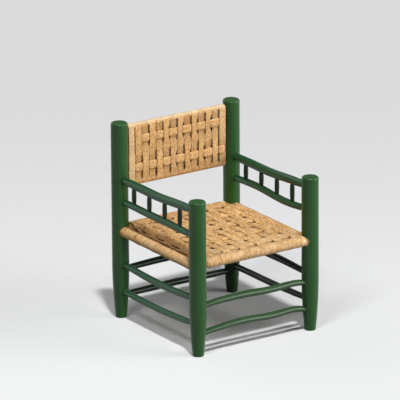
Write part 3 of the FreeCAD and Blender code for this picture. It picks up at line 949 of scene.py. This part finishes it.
    def _swell(self, mesh: bmesh.types.BMesh) -> None:
        """Draws the right band out a little, and its front roll round the front of the post.

        Args:
            mesh: The mesh of the band at the right side.
        """
        for corner in mesh.verts:
            past = step(corner.co.x, *self.swell_from) * step(corner.co.y, *self.swell_to)
            corner.co.x += self.swell * past
            across, deep = corner.co.x - self.side, corner.co.y - self.front
            away = math.hypot(across, deep)
            if deep < -0.004 and away < self.post_radius:
                corner.co.x = self.side + across * self.post_radius / away
                corner.co.y = self.front + deep * self.post_radius / away

    def _tilt(self, mesh: bmesh.types.BMesh) -> None:
        """Bends an outermost full band down on its outer side, with painted arm shade on the left one.

        Args:
            mesh: The mesh of the band.
        """
        tuck = mesh.verts.layers.float["tuck"]
        for corner in mesh.verts:
            x, y, z = corner.co
            if z > self.side_rail_height + 0.01:
                middle = math.copysign(self._centre(self.bands - 2), x)
                corner.co.z -= self._drop(x, y, True) - self._drop(middle, y, True)
            if x < 0.0:
                past = step(-x, self.crest - 0.001, 0.007) * step(abs(y), *self.tilt_ends)
                corner[tuck] = max(corner[tuck], self.tilt_shade * past)

    def _keep_off_posts(self, mesh: bmesh.types.BMesh, axis: int) -> None:
        """Moves what would reach into a corner post back to its face.

        Args:
            mesh: The mesh of a piece of rush.
            axis: The direction of the move, 0 across or 1 from front to back.
        """
        post = (self.side, self.back)
        for corner in mesh.verts:
            gaps = [abs(corner.co[n]) - post[n] for n in (0, 1)]
            if math.hypot(*gaps) < self.post_radius:
                room = math.sqrt(self.post_radius**2 - gaps[1 - axis] ** 2)
                corner.co[axis] = math.copysign(post[axis] - room, corner.co[axis])

    def _weft(self, number: int) -> None:
        """Weaves one crosswise band through the lengthwise ones and round the side rails.

        Args:
            number: The band.
        """
        centre = self.weft_rows[number]
        share = (centre - self.front) / (self.back - self.front)
        layer = blend(self.front_rail_height, self.back_rail_height, share)
        above = layer + self.roll_radius - self.side_rail_height - self.side_roll_radius
        below = self.side_rail_height - self.side_roll_radius - layer + self.roll_radius

        def lift(reach: float, upper: bool) -> float:
            """Gives how far the band stands out from the side rolls' own line at a reach."""
            level = (above if upper else below) - self._drop(reach, centre, upper)
            return (
                level * step(abs(reach), *self.weft_rise) + self._weft_lift(number, reach) * self.weave_height
            )

        start, end = (-self.side, self.side_rail_height), (self.side, self.side_rail_height)
        cuts = []
        for reach, rise, way, outward, upper in Belt(start, end, self.side_roll_radius).walk(lift):
            woven = self._weft_lift(number, reach)
            left, right = self.weft_shade
            past = step(-reach, *left) * step(reach, *right) * upper
            half = self.weft_half * (1.0 + 0.06 * woven)
            # painted shade: where the band goes under, on the left slope that the arm shades, a little more
            # towards the back, and along its low edge where it lies over
            tuck = max(0.7 * max(0.0, -woven), 0.55 * past, 0.02 + 0.026 * number)
            shade_dark = max(0.0, woven) * (0.50 - 0.38 * (number % 2))
            cuts.append(
                Cut(
                    Vector((reach, 0.0, rise)), Vector((math.cos(outward), 0.0, math.sin(outward))),
                    centre - half, centre + half, self.band_thick * (1.08 + 0.1 * woven), tuck, way, 2.8,
                    shade_dark, 0.0, 0.35 * (number == 0),
                )
            )
        mesh = new_rush_mesh()
        tone = random.Random(300 + number).random()
        RushBand(Vector((0.0, 1.0, 0.0)), self.strand, tone, 400 + number).build(mesh, cuts)
        self._keep_off_posts(mesh, 1)
        self._finish_piece(mesh, f"seat_crosswise_band_{number + 1}", f"seat_weft_{number + 1}")


@dataclass
class WovenBack(Weave):
    """The back: upright bands round its two rails, and two crosswise bands through both layers.

    Each pair of neighbouring upright bands is one piece.
    """

    bands: int = 14
    plain_bands: tuple[int, ...] = (0,)
    parity: int = 1
    pitch: float = 0.0320
    pinches: tuple[float, ...] = (
        0.0, 0.0, 0.001, 0.0, 0.002, 0.006, 0.007, 0.009, 0.008, 0.009, 0.010, 0.011, 0.0, 0.0
    )
    weft_rows: tuple[float, ...] = (0.592, 0.704)
    weft_half: float = 0.0150
    flat_share: float = 0.9
    settle: float = 0.036
    weft_turn: Span = (0.20, 0.30)
    weave_height: float = 0.0023
    band_thick: float = 0.0048
    strand: float = 0.0039
    slit_width: float = 0.0040
    left_edge: float = -0.2217
    first_seam: float = -0.1945
    weft_reach: float = 0.2226
    weft_sink: float = 0.0020
    depth: float = 0.265
    bottom_rail: float = 0.534
    top_rail: float = 0.752
    layer_half: float = 0.01245
    belt_step: float = 0.003
    pinch_fade: float = 0.030
    shade_fades: Span = (0.070, 0.007)

    def build(self) -> None:
        """Weaves the whole back."""
        self.finish = RushFinish(
            "back_rush", self.strand, level=0.73, grain=215.0, streak=0.5, pale_most=0.76, brown_most=0.80
        ).material()
        for pair in range(self.bands // 2):
            self._warp_pair(pair)
        for number, name in enumerate(("lower", "upper")):
            self._weft(number, name)

    def _seam(self, number: int) -> float:
        """Gives the across place of an upright band's left edge."""
        return self.left_edge if number == 0 else self.first_seam + self.pitch * (number - 1)

    def _slit(self, number: int, rise: float) -> float:
        """Finds how open the slit at an upright band's right edge is.

        Args:
            number: The band.
            rise: The height.

        Returns:
            The share, from 0 for closed to 1 for open.
        """
        if not 0 <= number < self.bands - 1:
            return 0.0
        shift = random.Random(1200 + number).uniform(-0.008, 0.008)
        ends = step(rise, self.top_rail + 0.004, -0.008) * step(rise, self.bottom_rail + 0.006, 0.008)
        if number == self.bands - 2:
            return 0.9 * ends
        if number == 0:
            return 0.6 * step(rise, 0.630, 0.02) * ends
        if number % 2 == 0:
            return ends * step(rise, 0.668 + shift, 0.012)
        return ends * step(rise, 0.648 + shift, -0.012)

    def _wear_and_highlight(self, number: int, rise: float) -> float:
        """Gives an upright band's wear and painted highlight: most on the top roll and at the sides."""
        return max(step(rise, self.top_rail + 0.004, 0.007), 0.36 * (number in (0, self.bands - 1)))

    def _gap(self, number: int, rise: float, over: bool) -> float:
        """Gives the way to the nearest crosswise band that lies over an upright one, or under it."""
        rows = [row for weft, row in enumerate(self.weft_rows) if self._over(number, weft) is over]
        return min((abs(rise - row) for row in rows), default=math.inf)

    def _pinch(self, number: int, rise: float) -> float:
        """Gives how far a crosswise band draws in the right edge of an upright band that lies over it."""
        far = step(self._gap(number, rise, False), self.weft_half * 0.6, self.pinch_fade)
        return self.pinches[number] * (1.0 - far)

    def _shade(self, number: int, rise: float, upper: bool) -> float:
        """Gives how much painted shade darkens an upright band at a height, near where it goes under."""
        far, off = (step(self._gap(number, rise, True), self.weft_half, fade) for fade in self.shade_fades)
        return max(0.28 * (1.0 - far), 0.55 * (1.0 - off)) * (1.0 if upper else 0.9)

    def _warp_pair(self, pair: int) -> None:
        """Winds two neighbouring upright bands round the back's rails.

        Args:
            pair: The pair's number, from 0 at the left.
        """
        mesh = new_rush_mesh()
        belt = Belt((self.bottom_rail, 0.0), (self.top_rail, 0.0), self.layer_half, self.belt_step)
        for number in (2 * pair, 2 * pair + 1):
            draw = random.Random(600 + number)
            tone = draw.random()
            phase = draw.uniform(0.0, math.tau)
            cuts = [self._warp_cut(number, phase, point) for point in belt.walk(self._belt_lift(number))]
            RushBand(Vector((1.0, 0.0, 0.0)), self.strand, tone, 700 + number).build(mesh, cuts)
        self._finish_piece(mesh, f"back_upright_bands_{pair + 1}", f"back_warp_pair_{pair + 1}")

    def _warp_cut(self, number: int, phase: float, point: Point) -> Cut:
        """Cuts through an upright band.

        Args:
            number: The band.
            phase: Where its wander starts.
            point: The belt's point there, as its walk gives it.

        Returns:
            The cut.
        """
        reach, rise, way, outward, upper = point
        lift, near = self._warp_lift(number, reach)
        middle = (self.bottom_rail + self.top_rail) / 2.0
        rolled = step(abs(reach - middle), self.top_rail - middle - 0.006, 0.010)
        wave = math.sin(reach / 0.037 + phase) * 0.0005 * (1.0 - rolled) * upper
        centre = self._centre(number) + wave - 0.0011 * lift * upper
        plain = 0.8 * (number in (0, self.bands - 1))
        share = blend(0.985 - 0.035 * near, 1.02, max(rolled, plain)) if upper else 1.02 + 0.13 * near
        half = (self._seam(number + 1) - self._seam(number)) * 0.5 * share
        left, right = (self._slit(n, reach) for n in (number - 1, number))
        drawn_in = (self.slit_width * 0.7 * right + self._pinch(number, reach)) * upper
        # painted shade from _shade, and at the edges beside the slits
        return Cut(
            Vector((0.0, self.depth - rise, reach)), Vector((0.0, -math.sin(outward), math.cos(outward))),
            centre - half + self.slit_width * 0.3 * left * upper, centre + half - drawn_in,
            self.band_thick * (1.0 - 0.14 * near), self._shade(number, reach, upper), way,
            blend(2.8, 5.0, rolled), left, right, self._wear_and_highlight(number, reach),
        )

    def _weft(self, number: int, name: str) -> None:
        """Weaves one crosswise band through the upright ones and round the back's edges.

        Args:
            number: The band.
            name: Its name in the CAD.
        """
        centre = self.weft_rows[number]
        edge = self.weft_reach - self.layer_half - self.weft_sink
        belt = Belt((-edge, 0.0), (edge, 0.0), self.layer_half, self.belt_step)
        cuts = []
        walked = belt.walk(lambda reach, upper: self._weft_lift(number, reach) * self.weave_height)
        for reach, rise, way, outward, _ in walked:
            woven = self._weft_lift(number, reach)
            half = self.weft_half * (1.0 + 0.05 * woven)
            # painted shade where the band goes under an upright one
            cuts.append(
                Cut(
                    Vector((reach, self.depth - rise, 0.0)),
                    Vector((math.cos(outward), -math.sin(outward), 0.0)),
                    centre - half, centre + half, self.band_thick * (1.1 + 0.1 * woven),
                    max(0.0, -woven), way,
                )
            )
        mesh = new_rush_mesh()
        tone = random.Random(800 + number).random()
        RushBand(Vector((0.0, 0.0, 1.0)), self.strand, tone, 900 + number).build(mesh, cuts)
        self._finish_piece(mesh, f"back_{name}_crosswise_band", f"back_{name}_weft")


@dataclass
class PaintedFrame:
    """The round wooden pieces, which keep their CAD meshes and get their paint."""

    rush: tuple[str, ...] = ("warp", "weft", "wrap")
    upright: tuple[str, ...] = ("post", "spindle")
    across: tuple[str, ...] = ("front_", "back_", "top_back", "bottom_back")
    # painted shade: the spindles and the rungs under the seat take the shadowed paint, for the shade that the
    # arm rails and the seat cast on them
    shades: tuple[tuple[Shade, tuple[str, ...]], ...] = (
        (
            Shade.SHADOWED,
            ("spindle", "back_upper", "back_lower", "right_upper_stretcher", "right_lower_stretcher"),
        ),
        (Shade.POND, ("arm_rail", "left_upper_stretcher", "left_lower_stretcher")),
        (Shade.MOSS, ("front_upper_stretcher", "front_lower_stretcher")),
    )
    # painted shade: the inward side of these posts is darker below the seat
    shaded_below_seat: tuple[str, ...] = ("back_right_post",)
    under_seat: float = 0.345

    def dress(self, nodes: dict[str, bpy.types.Object]) -> None:
        """Paints every wooden node along its own run.

        Args:
            nodes: The CAD nodes by name.
        """
        paints: dict[SatinPaint, bpy.types.Material] = {}
        for name, node in sorted(nodes.items()):
            if self._has(name, self.rush):
                continue
            paint = SatinPaint(self._run(name), self._shade(name), self.under_seat * (name in self.shaded_below_seat))
            if paint not in paints:
                paints[paint] = paint.material()
            node.data.materials.clear()
            node.data.materials.append(paints[paint])
            for face in node.data.polygons:
                face.material_index = 0
            log.info("%s: painted %s green, %s", name, paint.shade.name.lower(), paint.run.name.lower())

    @staticmethod
    def _has(name: str, words: Sequence[str]) -> bool:
        """Tells whether a name holds any of some words."""
        return any(word in name for word in words)

    def _run(self, name: str) -> Run:
        """Finds the way in which a wooden node runs from its name."""
        level = Run.ACROSS if name.startswith(self.across) else Run.DEEP
        return Run.UPRIGHT if self._has(name, self.upright) else level

    def _shade(self, name: str) -> Shade:
        """Finds the shade of a wooden node's paint from its name."""
        return next((shade for shade, words in self.shades if self._has(name, words)), Shade.LEAF)


@dataclass(frozen=True)
class Lamp:
    """A far soft lamp of the studio.

    Its azimuth goes round from the chair's front towards its right, and its spread is how wide it
    looks from the chair, all in degrees. Its strength is its light on a surface that faces it.
    """

    name: str
    azimuth: float
    elevation: float
    strength: float
    spread: float

    def hang(self) -> None:
        """Hangs the lamp."""
        lamp = bpy.data.lights.new(self.name, "SUN")
        lamp.energy = self.strength
        lamp.angle = math.radians(self.spread)
        held = bpy.data.objects.new(self.name, lamp)
        bpy.context.scene.collection.objects.link(held)
        azimuth, elevation = math.radians(self.azimuth), math.radians(self.elevation)
        level = math.cos(elevation)
        source = Vector((math.sin(azimuth) * level, -math.cos(azimuth) * level, math.sin(elevation)))
        held.rotation_euler = source.to_track_quat("Z", "Y").to_euler()


@dataclass
class Studio:
    """The pale floor, which grows darker with the distance, and the soft light."""

    floor_radius: float = 14.0
    floor_sides: int = 96
    floor_near: Colour = colour(0.915, 0.925, 0.935)
    floor_far: Colour = colour(0.698, 0.698, 0.704)
    floor_fade: Span = (-2.0, 3.2)
    floor_turn: float = 33.7
    floor_bounce: Colour = colour(0.14, 0.14, 0.14)
    surround: float = 0.03
    lamps: tuple[Lamp, ...] = (
        Lamp("key", -21.3, 68.9, 1.94, 4.0),
        Lamp("fill", -62.0, 52.0, 0.72, 16.0),
        Lamp("side", 44.0, 3.5, 4.50, 44.0),
        Lamp("rim", -160.0, 20.0, 0.50, 60.0),
    )

    def build(self) -> None:
        """Sets up the floor, the surround and the lamps."""
        self._floor()
        self._surround()
        for lamp in self.lamps:
            lamp.hang()

    def _floor(self) -> None:
        """Lays the pale floor, which throws less light back at the chair than it shows."""
        mesh = bmesh.new()
        bmesh.ops.create_circle(mesh, cap_ends=True, segments=self.floor_sides, radius=self.floor_radius)
        data = bpy.data.meshes.new("studio_floor")
        mesh.to_mesh(data)
        mesh.free()
        floor = bpy.data.objects.new("studio_floor", data)
        bpy.context.scene.collection.objects.link(floor)
        made = bpy.data.materials.new("studio_paper")
        bench = Bench(made)
        place = bench.node("TexCoord", gives="Object")
        turn = (0.0, 0.0, math.radians(self.floor_turn))
        turned = bench.node("Mapping", None, {"Vector": place, "Rotation": turn})
        share = bench.smooth(bench.part(turned, "Y"), *self.floor_fade)
        shown = bench.mix(share, self.floor_near, self.floor_far)
        tint = bench.mix(self._seen(bench), self.floor_bounce, shown)
        paper = bench.node("BsdfDiffuse", None, {"Color": tint})
        below = bench.node("NewGeometry", gives="Backfacing")
        both = bench.node("MixShader", None, {0: below, 1: paper, 2: bench.node("BsdfTransparent")})
        bench.node("OutputMaterial", None, {"Surface": both})
        data.materials.append(made)

    @staticmethod
    def _seen(bench: Bench) -> Wire:
        """Tells rays from the camera, also by way of gloss and glass, from the light's own.

        Args:
            bench: The bench of the material or the world that asks.

        Returns:
            1 for a ray from the camera, and else 0.
        """
        kinds = ("Camera", "Glossy", "Transmission")
        camera, gloss, glass = (bench.node("LightPath", gives=f"Is {kind} Ray") for kind in kinds)
        return bench.maths("MINIMUM", camera + gloss + glass, 1.0)

    def _surround(self) -> None:
        """Lights the scene evenly from all round."""
        world = bpy.data.worlds.new("studio_surround")
        bpy.context.scene.world = world
        bench = Bench(world)
        glow = bench.node("Background", None, {"Color": colour(1.0, 1.0, 1.0), "Strength": self.surround})
        pale = bench.node("Background", None, {"Color": self.floor_far, "Strength": 1.0})
        both = bench.node("MixShader", None, {0: self._seen(bench), 1: glow, 2: pale})
        bench.node("OutputWorld", None, {"Surface": both})


@dataclass
class PhotoCamera:
    """The camera, far away with a long lens, as in the photograph."""

    azimuth: float = -33.680
    elevation: float = 18.655
    roll: float = -0.375
    distance: float = 22.768
    focal_pixels: float = 6000.0
    picture: float = 400.0
    sensor: float = 36.0
    chair_point: Vector = field(default_factory=lambda: Vector((0.0, 0.0, 0.390)))
    chair_pixel: Span = (214.843, 225.987)

    def build(self) -> None:
        """Makes the camera and sets it as the scene's own."""
        azimuth, elevation = math.radians(self.azimuth), math.radians(self.elevation)
        forth = math.cos(elevation)
        ahead = Vector((-math.sin(azimuth) * forth, math.cos(azimuth) * forth, -math.sin(elevation)))
        level = Vector((math.cos(azimuth), math.sin(azimuth), 0.0))
        above = level.cross(ahead)
        turn = math.radians(self.roll)
        right = level * math.cos(turn) + above * math.sin(turn)
        up = above * math.cos(turn) - level * math.sin(turn)
        scale = self.distance / self.focal_pixels
        middle = self.picture / 2.0
        aim = self.chair_point - right * (self.chair_pixel[0] - middle) * scale
        aim += up * (self.chair_pixel[1] - middle) * scale
        lens = bpy.data.cameras.new("photo_camera")
        lens.sensor_width = self.sensor
        lens.lens = self.focal_pixels * self.sensor / self.picture
        lens.clip_end = self.distance * 4.0
        camera = bpy.data.objects.new("photo_camera", lens)
        bpy.context.scene.collection.objects.link(camera)
        place = Matrix((right, up, -ahead)).transposed().to_4x4()
        place.translation = aim - ahead * self.distance
        camera.matrix_world = place
        bpy.context.scene.camera = camera


def main() -> None:
    """Builds the studio and dresses the chair, part by part."""
    logging.basicConfig(level=logging.INFO, format="%(message)s")
    view = bpy.context.scene.view_settings
    view.view_transform = "Standard"
    PhotoCamera().build()
    Studio().build()
    PaintedFrame().dress(frame["nodes"])
    WovenSeat().build()
    WovenBack().build()


if __name__ == "__main__":
    main()
